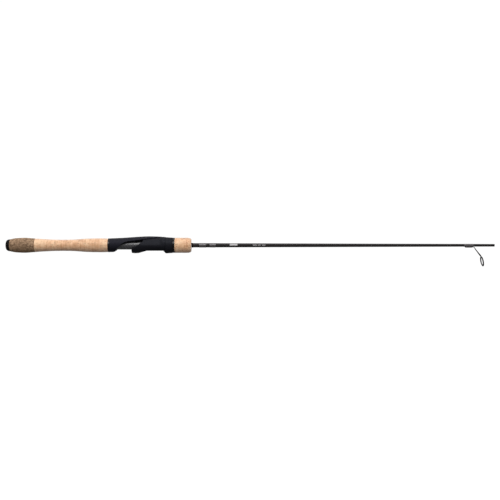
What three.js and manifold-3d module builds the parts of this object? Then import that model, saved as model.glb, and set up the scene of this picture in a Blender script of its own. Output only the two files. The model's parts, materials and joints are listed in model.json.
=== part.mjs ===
// Handle section of a light two-piece spinning rod: cork grip, skeleton reel seat with a
// cork-covered locking nut, hook keeper, one line guide and the plain male end of the joint.
//
// Millimetres. +X runs along the rod towards the tip, +Z is up, and the reel side faces down.
// Every station is a distance forward from the butt end. The origin is on the rod's axis at the
// point where the hand closes round the reel's stem.
import * as THREE from 'three';
import { mergeVertices } from 'three/addons/utils/BufferGeometryUtils.js';
import Module from 'manifold-3d';

const wasm = await Module();
wasm.setup();

// ---- Driving dimensions ----

const BUTT_TO_HAND = 234;
const LENGTH = 766;

const GLUE_GAP = 0.15; // glue line between a piece and what it is bonded to
const RUNNING_GAP = 0.2; // between pieces that slide or turn on each other

const ROUND = 24; // facets round a grip-sized piece
const FINE = 32; // facets round the reel seat
const THIN = 16; // facets round a blank-sized piece

// Blank: a straight-tapered hollow carbon tube
const BLANK_START = 4.3;
const BLANK_RADIUS_AT_BUTT = 4.12;
const BLANK_TAPER = 0.002875; // loss of radius per millimetre of length
const BLANK_WALL_AT_BUTT = 1.1;
const BLANK_WALL_AT_END = 0.75;

// Grip
const CAP_LENGTH = 6.6;
const CAP_RADIUS = 9.3;
const CAP_FACE_RADIUS = 5.2;
const GRIP_END = 160; // front of the rear grip, where the reel seat starts
const BUTT_RINGS = 3;
const CORK_RINGS = 9;
const CORK_RING_LENGTH = 12.7;
const BUTT_RING_LENGTH = (GRIP_END - CORK_RINGS * CORK_RING_LENGTH - CAP_LENGTH) / BUTT_RINGS;

// The grip's outline, as [station, radius], from the cap to the seat
const GRIP_OUTLINE = [
  [6.6, 9.6],
  [12, 10.8],
  [28, 11.75],
  [45.7, 10.65],
  [66, 9.35],
  [88, 8.8],
  [108, 9.2],
  [125, 10.45],
  [147, 10.95],
  [160, 10.65],
];

// Reel seat
const SEAT_START = GRIP_END;
const TRIM_LENGTH = 3;
const REAR_TRIM_RADIUS = 10.9;
const FRONT_TRIM_RADIUS = 11.85;
const CORE_RADIUS = 6.7; // glossy inner tube, bare in the windows
const CORE_BORE = 5.4;
const ARBOR_LENGTH = 14;
const ARBOR_STARTS = [164, 205, 262];
const SEAT_BORE = CORE_RADIUS + GLUE_GAP;
const BARREL_START = 197.3;
const PLATFORM_END = 250;
const THREAD_END = 285.5;
const THREAD_RADIUS = 8.2;
const BED = 8.6; // flat bed for the reel foot, below the axis
const KEYWAY_WIDTH = 3;
const KEYWAY_DEPTH = 1;

// Pockets that take the two ends of a reel foot
const POCKET_HALF_WIDTH = 6.8;
const POCKET_SIDE_DEPTH = 9.4;
const POCKET_DEPTH = 11.3;

// Outlines of the seat: half-width, top and bottom as [station, distance from the axis]
const SEAT_WIDTH = [
  [163, 10.8],
  [200, 11.2],
  [228, 11.8],
  [250, 11.9],
];
const SEAT_TOP = [
  [163, 10.9],
  [182, 11.7],
  [204, 13.2],
  [222, 14.1],
  [238, 13.8],
  [250, 13],
];
const SEAT_BOTTOM = [
  [163, 10.7],
  [250, 10.2],
];
const TONGUE_THICKNESS = 1.2;
const TONGUE_FADE = [240, 246];

// Lower edge of the palm shell, seen from the side, as [station, height above the axis]
const SHELL_EDGE = [
  [165.5, -12.5],
  [171.5, -8.6],
  [177, -3.4],
  [184, 3.2],
  [193, 6.4],
  [207, 8.2],
  [226, 11.2],
  [258, 15.2],
];
const RING_FOOT = [165.5, -16];
const RIB_HALF_WIDTH = 4.5; // rib that joins the palm shell to the core tube over the windows
// Slanted rear edge of the barrel, seen from the side
const BARREL_EDGE_LOW = [BARREL_START, -7.5];
const BARREL_EDGE_HIGH = [215, 6.5];

const REAR_HOOD_END = 221;
const REAR_HOOD_BOTTOM = [
  [BARREL_START, 12.1],
  [203, 12.5],
  [REAR_HOOD_END, 11],
];
const REAR_POCKET_START = 203.5;
const REAR_MOUTH = [[204.5, -12.9], [221, -8.6]]; // slanted cut of the hood's mouth

// Moving hood and the cork-covered nut that drives it
const HOOD_START = PLATFORM_END + RUNNING_GAP;
const HOOD_END = 261.1;
const HOOD_LIP = 246.5;
const HOOD_WIDTH = 12;
const HOOD_TOP = [12.9, 12];
const HOOD_BOTTOM = [13, 12.1];
const FRONT_MOUTH = [[250.8, -13.3], [247.1, -8.8]];
const FRONT_POCKET_END = 256.5;
const HOOD_BORE = THREAD_RADIUS + RUNNING_GAP;
const NUT_START = 258.2;
const NUT_END = 281;
const NUT_RADIUS = 9.7;
const NUT_GROOVE_DEPTH = 0.5;
const COUNTERBORE_START = 257.9;
const COUNTERBORE_RADIUS = NUT_RADIUS + RUNNING_GAP;
const GROOVE = [259.2, 260.2];
const HOOD_GROOVE_RADIUS = 10.6;
const CLIP_OPENING = 5;
const NUT_TRIM_START = HOOD_END + RUNNING_GAP;

const FOREGRIP_START = 264.7;
const FOREGRIP_END = 290.3;
const FOREGRIP_RADIUS = 11.9;
const FOREGRIP_ROUNDING = 6;
const FOREGRIP_FRONT_WALL = 3.3;
const FOREGRIP_FRONT_BORE = 3.85;
const CHECK_LENGTH = 2.5;
const CHECK_RADIUS = 3.6;

// Hook keeper, on the far side of the blank
const KEEPER_WIRE = 1;
const KEEPER_HEIGHT = 3.4;
const REAR_WRAP = { from: 302.6, to: 313.5, radius: 3.97 };
const FRONT_WRAP = { from: 319, to: 328.4, radius: 3.63 };
const KEEPER_BULGE = 1.3;
const KEEPER_FOOT_SETBACK = 2;
const FOOT_PLAY = 0.15; // round a foot in its wrap
const WRAP_RAMP = 1.4; // length over which a wrap tapers to the blank at each end

// Line guide, hanging below the blank
const GUIDE_WRAP = { from: 718.3, to: 733, radius: 2.45 };
const GUIDE_BULGE = 1.35;
const GUIDE_FOOT_START = 720;
const GUIDE_STRAP = 0.8;
const GUIDE_LEG_THICKNESS = 1.3;
const GUIDE_STRAP_AT_RING = 1.8;
const GUIDE_STRAP_WIDTH = 2;
const GUIDE_STRAP_WIDTH_AT_RING = 5.2;
const GUIDE_LEG = [[734.5, -3.8], [737, -7.2], [741.8, -13.4]];
const GUIDE_CENTRE = [746.6, -25.2];
const GUIDE_LEAN = THREE.MathUtils.degToRad(10.8);
const GUIDE_RING_RADIUS = 8;
const GUIDE_FRAME_BORE = 7.05;
const GUIDE_FRAME_WIDTH = 1.2;
const INSERT_RADIUS = 6.95;
const INSERT_BORE = 5.9;
const INSERT_WIDTH = 2;

// ---- Materials ----

const finish = (color, roughness, metalness = 0) =>
  new THREE.MeshStandardMaterial({ color, roughness, metalness });

const CORK = finish(0xd9ab80, 0.85);
const BURL_CORK = finish(0x7f6650, 0.8);
const RUBBER = finish(0x1d1a1a, 0.7);
const SOFT_TOUCH = finish(0x26252d, 0.6);
const SEAT_PLASTIC = finish(0x232229, 0.5);
const GLOSS_BLACK = finish(0x2f2f31, 0.2);
const CARBON = finish(0x343032, 0.3);
const ARBOR_FOAM = finish(0x8c8c88, 0.9);
const NUT_PLASTIC = finish(0x1a1a1c, 0.45);
const SPRING_STEEL = finish(0x8f9296, 0.35, 1);
const GUIDE_STEEL = finish(0x222224, 0.3, 1);
const CERAMIC = finish(0x17171a, 0.15);
const WRAP = finish(0x2a2729, 0.2);

// ---- Geometry helpers ----

// A closed geometry as a solid that can be joined and cut.
function solidOf(geometry) {
  const bare = new THREE.BufferGeometry();
  bare.setAttribute('position', geometry.getAttribute('position'));
  bare.setIndex(geometry.index);
  const merged = mergeVertices(bare, 1e-4);
  return new wasm.Manifold(new wasm.Mesh({
    numProp: 3,
    vertProperties: merged.attributes.position.array,
    triVerts: new Uint32Array(merged.index.array),
  }));
}

function geometryOf(solid) {
  const mesh = solid.getMesh();
  const geometry = new THREE.BufferGeometry();
  geometry.setAttribute('position', new THREE.BufferAttribute(mesh.vertProperties, 3));
  geometry.setIndex(new THREE.BufferAttribute(mesh.triVerts, 1));
  geometry.computeVertexNormals();
  return geometry;
}

// Value at a station of a smooth curve through [station, value] points.
function along(points, station) {
  const last = points.length - 1;
  const s = THREE.MathUtils.clamp(station, points[0][0], points[last][0]);
  const i = Math.min(last - 1, points.findIndex((p, k) => k < last && s <= points[k + 1][0]));
  const slope = (k) => {
    const [a, b] = [points[Math.max(0, k - 1)], points[Math.min(last, k + 1)]];
    return (b[1] - a[1]) / (b[0] - a[0]);
  };
  const [[s0, v0], [s1, v1]] = [points[i], points[i + 1]];
  const t = (s - s0) / (s1 - s0);
  const rise = (s1 - s0) * (slope(i) * t * (1 - t) ** 2 - slope(i + 1) * t * t * (1 - t));
  return v0 + (v1 - v0) * t * t * (3 - 2 * t) + rise;
}

// Turns a profile of [station, radius] points about the rod's axis. The profile is closed unless
// it starts and ends on the axis.
function turned(profile, facets = ROUND) {
  const points = profile.map(([station, radius]) => new THREE.Vector2(radius, station - BUTT_TO_HAND));
  if (THREE.ShapeUtils.isClockWise(points)) points.reverse();
  if (points[0].x > 0) points.push(points[0].clone());
  return new THREE.LatheGeometry(points, facets).rotateZ(-Math.PI / 2);
}

// A tube with its own outer and inner radius at each end.
function tube(from, to, outer, inner, facets = ROUND) {
  return turned([[from, inner], [from, outer], [to, outer], [to, inner]], facets);
}

// A solid whose section at each listed station has the radius radiusAt(station, angle), where the
// angle is measured round the axis from straight up.
function lofted(stations, radiusAt, facets = FINE) {
  const first = stations[0];
  const last = stations[stations.length - 1];
  const profile = [[first, 0], ...stations.map((s) => [s, 1]), [last, 0]];
  const geometry = turned(profile, facets);
  pressRadius(geometry, (station, angle) => radiusAt(station, angle));
  return geometry;
}

// Scales each vertex of a geometry away from the axis.
function pressRadius(geometry, scaleAt) {
  const position = geometry.getAttribute('position');
  for (let i = 0; i < position.count; i++) {
    const [y, z] = [position.getY(i), position.getZ(i)];
    if (Math.hypot(y, z) < 1e-6) continue;
    const scale = scaleAt(position.getX(i) + BUTT_TO_HAND, Math.atan2(y, z));
    position.setY(i, y * scale);
    position.setZ(i, z * scale);
  }
}

// Radius, at an angle from straight up, of an oval with its own top and bottom.
function ovalRadius(angle, width, top, bottom, squareness = 2.2) {
  const height = Math.cos(angle) > 0 ? top : bottom;
  const x = Math.abs(Math.sin(angle) / width) ** squareness;
  const z = Math.abs(Math.cos(angle) / height) ** squareness;
  return (x + z) ** (-1 / squareness);
}

// Stations spaced evenly from one to another, both included.
function spaced(from, to, steps) {
  return Array.from({ length: steps + 1 }, (_, i) => from + ((to - from) * i) / steps);
}

// A side outline of [station, height] points, extruded across the rod.
function sideCut(outline, halfWidth = 20) {
  const shape = new THREE.Shape(outline.map(([s, z]) => new THREE.Vector2(s - BUTT_TO_HAND, z)));
  const geometry = new THREE.ExtrudeGeometry(shape, { depth: 2 * halfWidth, bevelEnabled: false });
  return solidOf(geometry.rotateX(Math.PI / 2).translate(0, halfWidth, 0));
}

function box(from, to, halfWidth, low, high) {
  const geometry = new THREE.BoxGeometry(to - from, 2 * halfWidth, high - low);
  return solidOf(geometry.translate((from + to) / 2 - BUTT_TO_HAND, 0, (low + high) / 2));
}

// Slot for one end of a reel foot: flat above, round below.
function pocket(from, to) {
  const shape = new THREE.Shape();
  shape.moveTo(-POCKET_HALF_WIDTH, -BED);
  shape.lineTo(-POCKET_HALF_WIDTH, -POCKET_SIDE_DEPTH);
  const sag = 2 * POCKET_DEPTH - POCKET_SIDE_DEPTH;
  shape.quadraticCurveTo(0, -sag, POCKET_HALF_WIDTH, -POCKET_SIDE_DEPTH);
  shape.lineTo(POCKET_HALF_WIDTH, -BED);
  const options = { depth: to - from, bevelEnabled: false, curveSegments: 8 };
  const geometry = new THREE.ExtrudeGeometry(shape, options);
  // The shape's x and y become the rod's y and z, and its depth runs forward.
  const frame = new THREE.Matrix4().makeBasis(
    new THREE.Vector3(0, 1, 0),
    new THREE.Vector3(0, 0, 1),
    new THREE.Vector3(1, 0, 0),
  );
  return solidOf(geometry.applyMatrix4(frame).translate(from - BUTT_TO_HAND, 0, 0));
}

// ---- Blank and grip ----

const blankRadius = (station) => BLANK_RADIUS_AT_BUTT - BLANK_TAPER * station;
const boreOver = (station) => blankRadius(station) + GLUE_GAP;

function blank() {
  return turned([
    [BLANK_START, blankRadius(BLANK_START) - BLANK_WALL_AT_BUTT],
    [BLANK_START, blankRadius(BLANK_START)],
    [LENGTH, blankRadius(LENGTH)],
    [LENGTH, blankRadius(LENGTH) - BLANK_WALL_AT_END],
  ], THIN);
}

function buttCap() {
  const corner = spaced(0, Math.PI / 2, 4).map((a) => [
    CAP_LENGTH * 0.75 * (1 - Math.cos(a)),
    CAP_FACE_RADIUS + (CAP_RADIUS - CAP_FACE_RADIUS) * Math.sin(a),
  ]);
  const socket = boreOver(BLANK_START);
  const socketFloor = BLANK_START - GLUE_GAP;
  return turned([
    [0, 0],
    ...corner,
    [CAP_LENGTH, CAP_RADIUS],
    [CAP_LENGTH, socket],
    [socketFloor, socket],
    [socketFloor, 0],
  ]);
}

// A ring glued on the blank, its outside following the grip's outline.
function gripRing(from, to) {
  const middle = (from + to) / 2;
  return turned([
    [from, boreOver(from)],
    ...[from, middle, to].map((s) => [s, along(GRIP_OUTLINE, s)]),
    [to, boreOver(to)],
  ]);
}

// ---- Reel seat ----

function trimRing(from, to, radius, bore) {
  const edge = 0.4;
  return turned([
    [from, bore],
    [from, radius - edge],
    [from + edge, radius],
    [to - edge, radius],
    [to, radius - edge],
    [to, bore],
  ]);
}

function arbor(from) {
  const to = from + ARBOR_LENGTH;
  return turned([
    [from, boreOver(from)],
    [from, CORE_BORE - GLUE_GAP],
    [to, CORE_BORE - GLUE_GAP],
    [to, boreOver(to)],
  ], THIN);
}

// Radius of the seat's outside, or of the barrel under the palm shell when inset. The inset runs out at
// the shell's tip, where the barrel comes up level with the hood.
function seatRadius(station, angle, inset) {
  const share = 1 - THREE.MathUtils.smoothstep(station, ...TONGUE_FADE);
  const thickness = inset * share * Math.min(1, 2 * Math.max(0, Math.cos(angle)));
  const radius = ovalRadius(
    angle,
    along(SEAT_WIDTH, station),
    along(SEAT_TOP, station),
    along(SEAT_BOTTOM, station),
  );
  return radius - thickness;
}

function seatBody(from, to, steps, inset) {
  const stations = [...spaced(from, TONGUE_FADE[0], steps).slice(0, -1), ...spaced(...TONGUE_FADE, 4), to];
  return solidOf(lofted(stations, (station, angle) => seatRadius(station, angle, inset)));
}

const shellEdge = new THREE.SplineCurve(SHELL_EDGE.map(([s, z]) => new THREE.Vector2(s, z)));
const shellEdgePoints = shellEdge.getPoints(28).map((p) => [p.x, p.y]);

// Everything above the palm shell's lower edge, and the full ring behind it.
function shellRegion() {
  return sideCut([RING_FOOT, ...shellEdgePoints, [258, 20], [150, 20], [150, -16]]);
}

// What lies in front of the barrel's slanted rear edge.
function barrelRegion(setBack) {
  const [low, high] = [BARREL_EDGE_LOW, BARREL_EDGE_HIGH];
  return sideCut([
    [low[0] - setBack, -20],
    [THREAD_END + 1, -20],
    [THREAD_END + 1, 20],
    [high[0] + 2 - setBack, 20],
    [high[0] - setBack, high[1]],
    [low[0] - setBack, low[1]],
  ]);
}

function coreTube() {
  return tube(SEAT_START + GLUE_GAP, THREAD_END, CORE_RADIUS, CORE_BORE, FINE);
}

function seatShell() {
  const start = SEAT_START + TRIM_LENGTH;
  const bore = solidOf(turned([[start - 5, 0], [start - 5, SEAT_BORE], [258, SEAT_BORE], [258, 0]], FINE));
  const barrel = seatBody(BARREL_START - 5, PLATFORM_END + 2, 10, TONGUE_THICKNESS - GLUE_GAP)
    .intersect(barrelRegion(GLUE_GAP));
  const rib = box(start + 15, BARREL_EDGE_HIGH[0] + 3, RIB_HALF_WIDTH, 0, SEAT_TOP[2][1] - 2);
  const shell = seatBody(start, PLATFORM_END, 12, 0)
    .intersect(shellRegion().add(rib))
    .subtract(barrel)
    .subtract(bore);
  return largestPiece(shell);
}

// Cutting can leave specks where two surfaces graze: the piece itself is the largest.
function largestPiece(solid) {
  return solid.decompose().sort((a, b) => b.volume() - a.volume())[0];
}

function rearHood() {
  const slope = sideCut([REAR_MOUTH[0], [REAR_MOUTH[0][0], -20], [REAR_HOOD_END + 5, -20], REAR_MOUTH[1]]);
  const lobe = lofted(spaced(BARREL_START, REAR_HOOD_END, 6), (station, angle) => {
    const width = along(SEAT_WIDTH, station) - 0.1;
    const radius = ovalRadius(angle, width, THREAD_RADIUS, along(REAR_HOOD_BOTTOM, station));
    return Math.cos(angle) > 0 ? Math.min(radius, seatRadius(station, angle, TONGUE_THICKNESS) - 0.15) : radius;
  });
  return solidOf(lobe).subtract(slope);
}

function seatBarrel() {
  const belowBed = box(REAR_POCKET_START, PLATFORM_END + 1, 20, -20, -BED);
  const platform = seatBody(BARREL_START, PLATFORM_END, 10, TONGUE_THICKNESS).subtract(belowBed);
  const thread = turned([
    [PLATFORM_END - 5, 0],
    [PLATFORM_END - 5, THREAD_RADIUS],
    [THREAD_END, THREAD_RADIUS],
    [THREAD_END, 0],
  ], FINE);
  const bore = turned([
    [BARREL_START - 1, 0],
    [BARREL_START - 1, SEAT_BORE],
    [THREAD_END + 1, SEAT_BORE],
    [THREAD_END + 1, 0],
  ], FINE);
  const keyway = box(PLATFORM_END, 275, KEYWAY_WIDTH / 2, THREAD_RADIUS - KEYWAY_DEPTH, 12);
  return platform
    .add(rearHood())
    .intersect(barrelRegion(0))
    .add(solidOf(thread))
    .subtract(solidOf(bore))
    .subtract(keyway)
    .subtract(pocket(REAR_POCKET_START, REAR_HOOD_END + 2));
}

// ---- Moving hood ----

function movingHood() {
  const share = (station) => (station - HOOD_LIP) / (HOOD_END - HOOD_LIP);
  const outside = solidOf(lofted(spaced(HOOD_LIP, HOOD_END, 5), (station, angle) => ovalRadius(
    angle,
    HOOD_WIDTH,
    THREE.MathUtils.lerp(HOOD_TOP[0], HOOD_TOP[1], share(station)),
    THREE.MathUtils.lerp(HOOD_BOTTOM[0], HOOD_BOTTOM[1], share(station)),
  )));
  const lipRoom = box(HOOD_LIP - 1, HOOD_START, 20, -BED - RUNNING_GAP, 20);
  const mouth = sideCut([
    FRONT_MOUTH[1],
    [HOOD_LIP - 1, -8],
    [HOOD_LIP - 1, -20],
    [FRONT_MOUTH[0][0], -20],
    FRONT_MOUTH[0],
  ]);
  const bore = turned([
    [HOOD_LIP - 1, 0],
    [HOOD_LIP - 1, HOOD_BORE],
    [COUNTERBORE_START, HOOD_BORE],
    [COUNTERBORE_START, COUNTERBORE_RADIUS],
    [GROOVE[0], COUNTERBORE_RADIUS],
    [GROOVE[0], HOOD_GROOVE_RADIUS],
    [GROOVE[1], HOOD_GROOVE_RADIUS],
    [GROOVE[1], COUNTERBORE_RADIUS],
    [HOOD_END + 1, COUNTERBORE_RADIUS],
    [HOOD_END + 1, 0],
  ], FINE);
  const keyClearance = 0.2;
  const key = box(
    HOOD_START,
    COUNTERBORE_START,
    KEYWAY_WIDTH / 2 - keyClearance,
    THREAD_RADIUS - KEYWAY_DEPTH + keyClearance,
    HOOD_BORE + 0.5,
  );
  return outside
    .subtract(solidOf(bore))
    .subtract(lipRoom)
    .subtract(mouth)
    .subtract(pocket(HOOD_LIP - 1, FRONT_POCKET_END))
    .add(key);
}

// The spring clip that lets the nut turn in the hood and pull it back.
function hoodClip() {
  const play = 0.1;
  const ring = solidOf(tube(
    GROOVE[0] + play,
    GROOVE[1] - play,
    HOOD_GROOVE_RADIUS - play,
    NUT_RADIUS - NUT_GROOVE_DEPTH + play,
  ));
  return ring.subtract(box(GROOVE[0] - 1, GROOVE[1] + 1, CLIP_OPENING / 2, 0, 20));
}

function lockingNut() {
  const neck = NUT_RADIUS - NUT_GROOVE_DEPTH;
  return turned([
    [NUT_START, HOOD_BORE],
    [NUT_START, NUT_RADIUS],
    [GROOVE[0], NUT_RADIUS],
    [GROOVE[0], neck],
    [GROOVE[1], neck],
    [GROOVE[1], NUT_RADIUS],
    [NUT_END, NUT_RADIUS],
    [NUT_END, HOOD_BORE],
  ]);
}

function foregripRear(to) {
  const bore = NUT_RADIUS + GLUE_GAP;
  return tube(FOREGRIP_START, to, FOREGRIP_RADIUS, bore);
}

function foregripFront(from) {
  const nutBore = NUT_RADIUS + GLUE_GAP;
  const threadBore = THREAD_RADIUS + 2 * RUNNING_GAP;
  const wall = FOREGRIP_END - FOREGRIP_FRONT_WALL;
  const nose = spaced(0, Math.PI / 2, 4).map((a) => [
    FOREGRIP_END - FOREGRIP_ROUNDING * (1 - Math.sin(a)),
    FOREGRIP_RADIUS - 3 * (1 - Math.cos(a)),
  ]);
  return turned([
    [from, nutBore],
    [from, FOREGRIP_RADIUS],
    ...nose,
    [FOREGRIP_END, FOREGRIP_FRONT_BORE],
    [wall, FOREGRIP_FRONT_BORE],
    [wall, threadBore],
    [NUT_END + RUNNING_GAP, threadBore],
    [NUT_END + RUNNING_GAP, nutBore],
  ]);
}

function windingCheck() {
  const from = FOREGRIP_END + RUNNING_GAP;
  return tube(from, from + CHECK_LENGTH, CHECK_RADIUS, boreOver(from), THIN);
}

// ---- Hook keeper and line guide ----
// Both are built below the blank. The keeper's group then turns it to the far side.

// A wrap of thread under its coat, ramped at both ends and deeper below, where it holds down a foot.
function wrapSleeve({ from, to, radius }, bulge) {
  const bore = boreOver(from);
  const edge = bore + 0.15;
  const geometry = turned([
    [from, bore],
    [from, edge],
    [from + WRAP_RAMP, radius],
    [to - WRAP_RAMP, radius],
    [to, edge],
    [to, bore],
  ], THIN);
  pressRadius(geometry, (station, angle) => {
    const onRamp = station < from + WRAP_RAMP / 2 || station > to - WRAP_RAMP / 2;
    const below = Math.max(0, -Math.cos(angle)) ** 3;
    return onRamp ? 1 : 1 + (bulge * below) / radius;
  });
  return solidOf(geometry);
}

// Cuts the channel that a foot of the given thickness and width lies in.
function withFootChannel(sleeve, from, to, thickness, width) {
  const floor = boreOver(from) + thickness + FOOT_PLAY;
  return sleeve.subtract(box(from, to, width / 2 + FOOT_PLAY, -floor, 0));
}

const footDepth = (station, thickness) => -(boreOver(station) + thickness / 2);

function hookKeeper() {
  const foot = footDepth(REAR_WRAP.from, KEEPER_WIRE);
  const arch = foot - KEEPER_HEIGHT;
  const middle = (REAR_WRAP.to + FRONT_WRAP.from) / 2;
  const points = [
    [REAR_WRAP.from + KEEPER_FOOT_SETBACK, foot],
    [REAR_WRAP.to - 3, foot],
    [REAR_WRAP.to - 0.2, foot],
    [middle - 1.7, arch + 1],
    [middle, arch],
    [middle + 1.7, arch + 1],
    [FRONT_WRAP.from + 0.2, foot],
    [FRONT_WRAP.from + 3, foot],
    [FRONT_WRAP.to - KEEPER_FOOT_SETBACK, foot],
  ];
  const path = new THREE.CatmullRomCurve3(
    points.map(([s, z]) => new THREE.Vector3(s - BUTT_TO_HAND, 0, z)),
    false,
    'centripetal',
  );
  const section = new THREE.Shape(spaced(0, 2 * Math.PI, 6).slice(0, -1).map((a) =>
    new THREE.Vector2(Math.cos(a) * KEEPER_WIRE / 2, Math.sin(a) * KEEPER_WIRE / 2)));
  return new THREE.ExtrudeGeometry(section, { steps: 26, extrudePath: path, bevelEnabled: false });
}

function keeperWrapRear() {
  return withFootChannel(
    wrapSleeve(REAR_WRAP, KEEPER_BULGE),
    REAR_WRAP.from + KEEPER_FOOT_SETBACK - FOOT_PLAY,
    REAR_WRAP.to + 1,
    KEEPER_WIRE,
    KEEPER_WIRE,
  );
}

function keeperWrapFront() {
  return withFootChannel(
    wrapSleeve(FRONT_WRAP, KEEPER_BULGE),
    FRONT_WRAP.from - 1,
    FRONT_WRAP.to - KEEPER_FOOT_SETBACK + FOOT_PLAY,
    KEEPER_WIRE,
    KEEPER_WIRE,
  );
}

function guideWrap() {
  return withFootChannel(
    wrapSleeve(GUIDE_WRAP, GUIDE_BULGE),
    GUIDE_FOOT_START - FOOT_PLAY,
    GUIDE_WRAP.to + 1,
    GUIDE_STRAP,
    GUIDE_STRAP_WIDTH,
  );
}

// The guide's strap, bent from a flat bar: the foot under the wrap, then the leg, widening to the ring.
function guideStrap() {
  const foot = footDepth(GUIDE_FOOT_START, GUIDE_STRAP);
  const reach = GUIDE_RING_RADIUS - GUIDE_STRAP / 2;
  const ringTop = [
    GUIDE_CENTRE[0] - reach * Math.sin(GUIDE_LEAN),
    GUIDE_CENTRE[1] + reach * Math.cos(GUIDE_LEAN),
  ];
  const points = [
    [GUIDE_FOOT_START, foot],
    [GUIDE_WRAP.to - 4, foot],
    [GUIDE_WRAP.to - 0.3, foot - 0.1],
    ...GUIDE_LEG,
    ringTop,
  ];
  const curve = new THREE.CatmullRomCurve3(
    points.map(([s, z]) => new THREE.Vector3(s - BUTT_TO_HAND, 0, z)),
    false,
    'centripetal',
  );
  const geometry = new THREE.BoxGeometry(1, 1, 1, 20, 1, 1);
  const position = geometry.getAttribute('position');
  for (let i = 0; i < position.count; i++) {
    const share = position.getX(i) + 0.5;
    const centre = curve.getPointAt(share);
    const direction = curve.getTangentAt(share);
    const widen = THREE.MathUtils.smoothstep(share, 0.6, 1);
    const width = THREE.MathUtils.lerp(GUIDE_STRAP_WIDTH, GUIDE_STRAP_WIDTH_AT_RING, widen);
    const leg = THREE.MathUtils.smoothstep(share, 0.41, 0.55);
    const thickness = THREE.MathUtils.lerp(
      THREE.MathUtils.lerp(GUIDE_STRAP, GUIDE_LEG_THICKNESS, leg),
      GUIDE_STRAP_AT_RING,
      widen,
    );
    const out = position.getZ(i) * thickness;
    position.setXYZ(
      i,
      centre.x - direction.z * out,
      position.getY(i) * width,
      centre.z + direction.x * out,
    );
  }
  return solidOf(geometry);
}

// Turns a profile of [distance along the ring's axis, radius] into a ring of the guide.
function guideRing(profile) {
  return turned(profile.map(([s, r]) => [s + BUTT_TO_HAND, r]), FINE)
    .rotateY(-GUIDE_LEAN)
    .translate(GUIDE_CENTRE[0] - BUTT_TO_HAND, 0, GUIDE_CENTRE[1]);
}

function guideFrame() {
  const half = GUIDE_FRAME_WIDTH / 2;
  const edge = 0.25;
  const band = guideRing([
    [-half, GUIDE_FRAME_BORE],
    [-half, GUIDE_RING_RADIUS - edge],
    [0, GUIDE_RING_RADIUS],
    [half, GUIDE_RING_RADIUS - edge],
    [half, GUIDE_FRAME_BORE],
  ]);
  const bore = guideRing([[-4, 0], [-4, GUIDE_FRAME_BORE], [4, GUIDE_FRAME_BORE], [4, 0]]);
  return solidOf(band).add(guideStrap().subtract(solidOf(bore)));
}

function guideInsert() {
  const half = INSERT_WIDTH / 2;
  const edge = 0.35;
  return guideRing([
    [-half, INSERT_BORE + edge],
    [-half, INSERT_RADIUS - edge],
    [-half + edge, INSERT_RADIUS],
    [half - edge, INSERT_RADIUS],
    [half, INSERT_RADIUS - edge],
    [half, INSERT_BORE + edge],
    [half - edge, INSERT_BORE],
    [-half + edge, INSERT_BORE],
  ]);
}

// ---- Assembly ----

const rod = new THREE.Group();
const hoodGroup = new THREE.Group();
const nutGroup = new THREE.Group();
const keeperGroup = new THREE.Group();
keeperGroup.rotation.x = Math.PI / 2;

function place(name, shape, material, parent = rod) {
  const geometry = shape.isBufferGeometry ? shape : geometryOf(shape);
  const mesh = new THREE.Mesh(geometry, material);
  mesh.name = name;
  parent.add(mesh);
}

place('blank', blank(), CARBON);
place('butt_cap', buttCap(), RUBBER);
for (let i = 0; i < BUTT_RINGS; i++) {
  const from = CAP_LENGTH + i * BUTT_RING_LENGTH;
  place(`butt_cork_ring_${i + 1}`, gripRing(from, from + BUTT_RING_LENGTH), BURL_CORK);
}
for (let i = 0; i < CORK_RINGS; i++) {
  const from = GRIP_END - (CORK_RINGS - i) * CORK_RING_LENGTH;
  place(`grip_cork_ring_${i + 1}`, gripRing(from, from + CORK_RING_LENGTH), CORK);
}

const rearTrim = trimRing(SEAT_START, SEAT_START + TRIM_LENGTH, REAR_TRIM_RADIUS, SEAT_BORE);
place('rear_trim_ring', rearTrim, GLOSS_BLACK);
place('seat_core_tube', coreTube(), GLOSS_BLACK);
ARBOR_STARTS.forEach((from, i) => place(`seat_arbor_${i + 1}`, arbor(from), ARBOR_FOAM));
place('seat_palm_shell', seatShell(), SOFT_TOUCH);
place('seat_barrel', seatBarrel(), SEAT_PLASTIC);

rod.add(hoodGroup);
place('moving_hood', movingHood(), SEAT_PLASTIC, hoodGroup);
place('hood_clip', hoodClip(), SPRING_STEEL, hoodGroup);

hoodGroup.add(nutGroup);
const foregripJoint = (FOREGRIP_START + FOREGRIP_END) / 2;
const frontTrim = trimRing(NUT_TRIM_START, FOREGRIP_START, FRONT_TRIM_RADIUS, NUT_RADIUS + GLUE_GAP);
place('locking_nut', lockingNut(), NUT_PLASTIC, nutGroup);
place('front_trim_ring', frontTrim, GLOSS_BLACK, nutGroup);
place('foregrip_cork_ring_1', foregripRear(foregripJoint), CORK, nutGroup);
place('foregrip_cork_ring_2', foregripFront(foregripJoint), CORK, nutGroup);

rod.add(keeperGroup);
place('winding_check', windingCheck(), RUBBER);
place('hook_keeper', hookKeeper(), GUIDE_STEEL, keeperGroup);
place('keeper_wrap_rear', keeperWrapRear(), WRAP, keeperGroup);
place('keeper_wrap_front', keeperWrapFront(), WRAP, keeperGroup);

place('guide_frame', guideFrame(), GUIDE_STEEL);
place('guide_ring', guideInsert(), CERAMIC);
place('guide_wrap', guideWrap(), WRAP);

export default rod;
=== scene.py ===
"""The looks of a spinning rod's handle section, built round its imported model.

Lengths are millimetres, and become Blender's metres when a mesh is made. A station is a distance
forward from the butt end, and an angle goes round the rod from straight up, towards +Y."""
import json
import math

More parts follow.
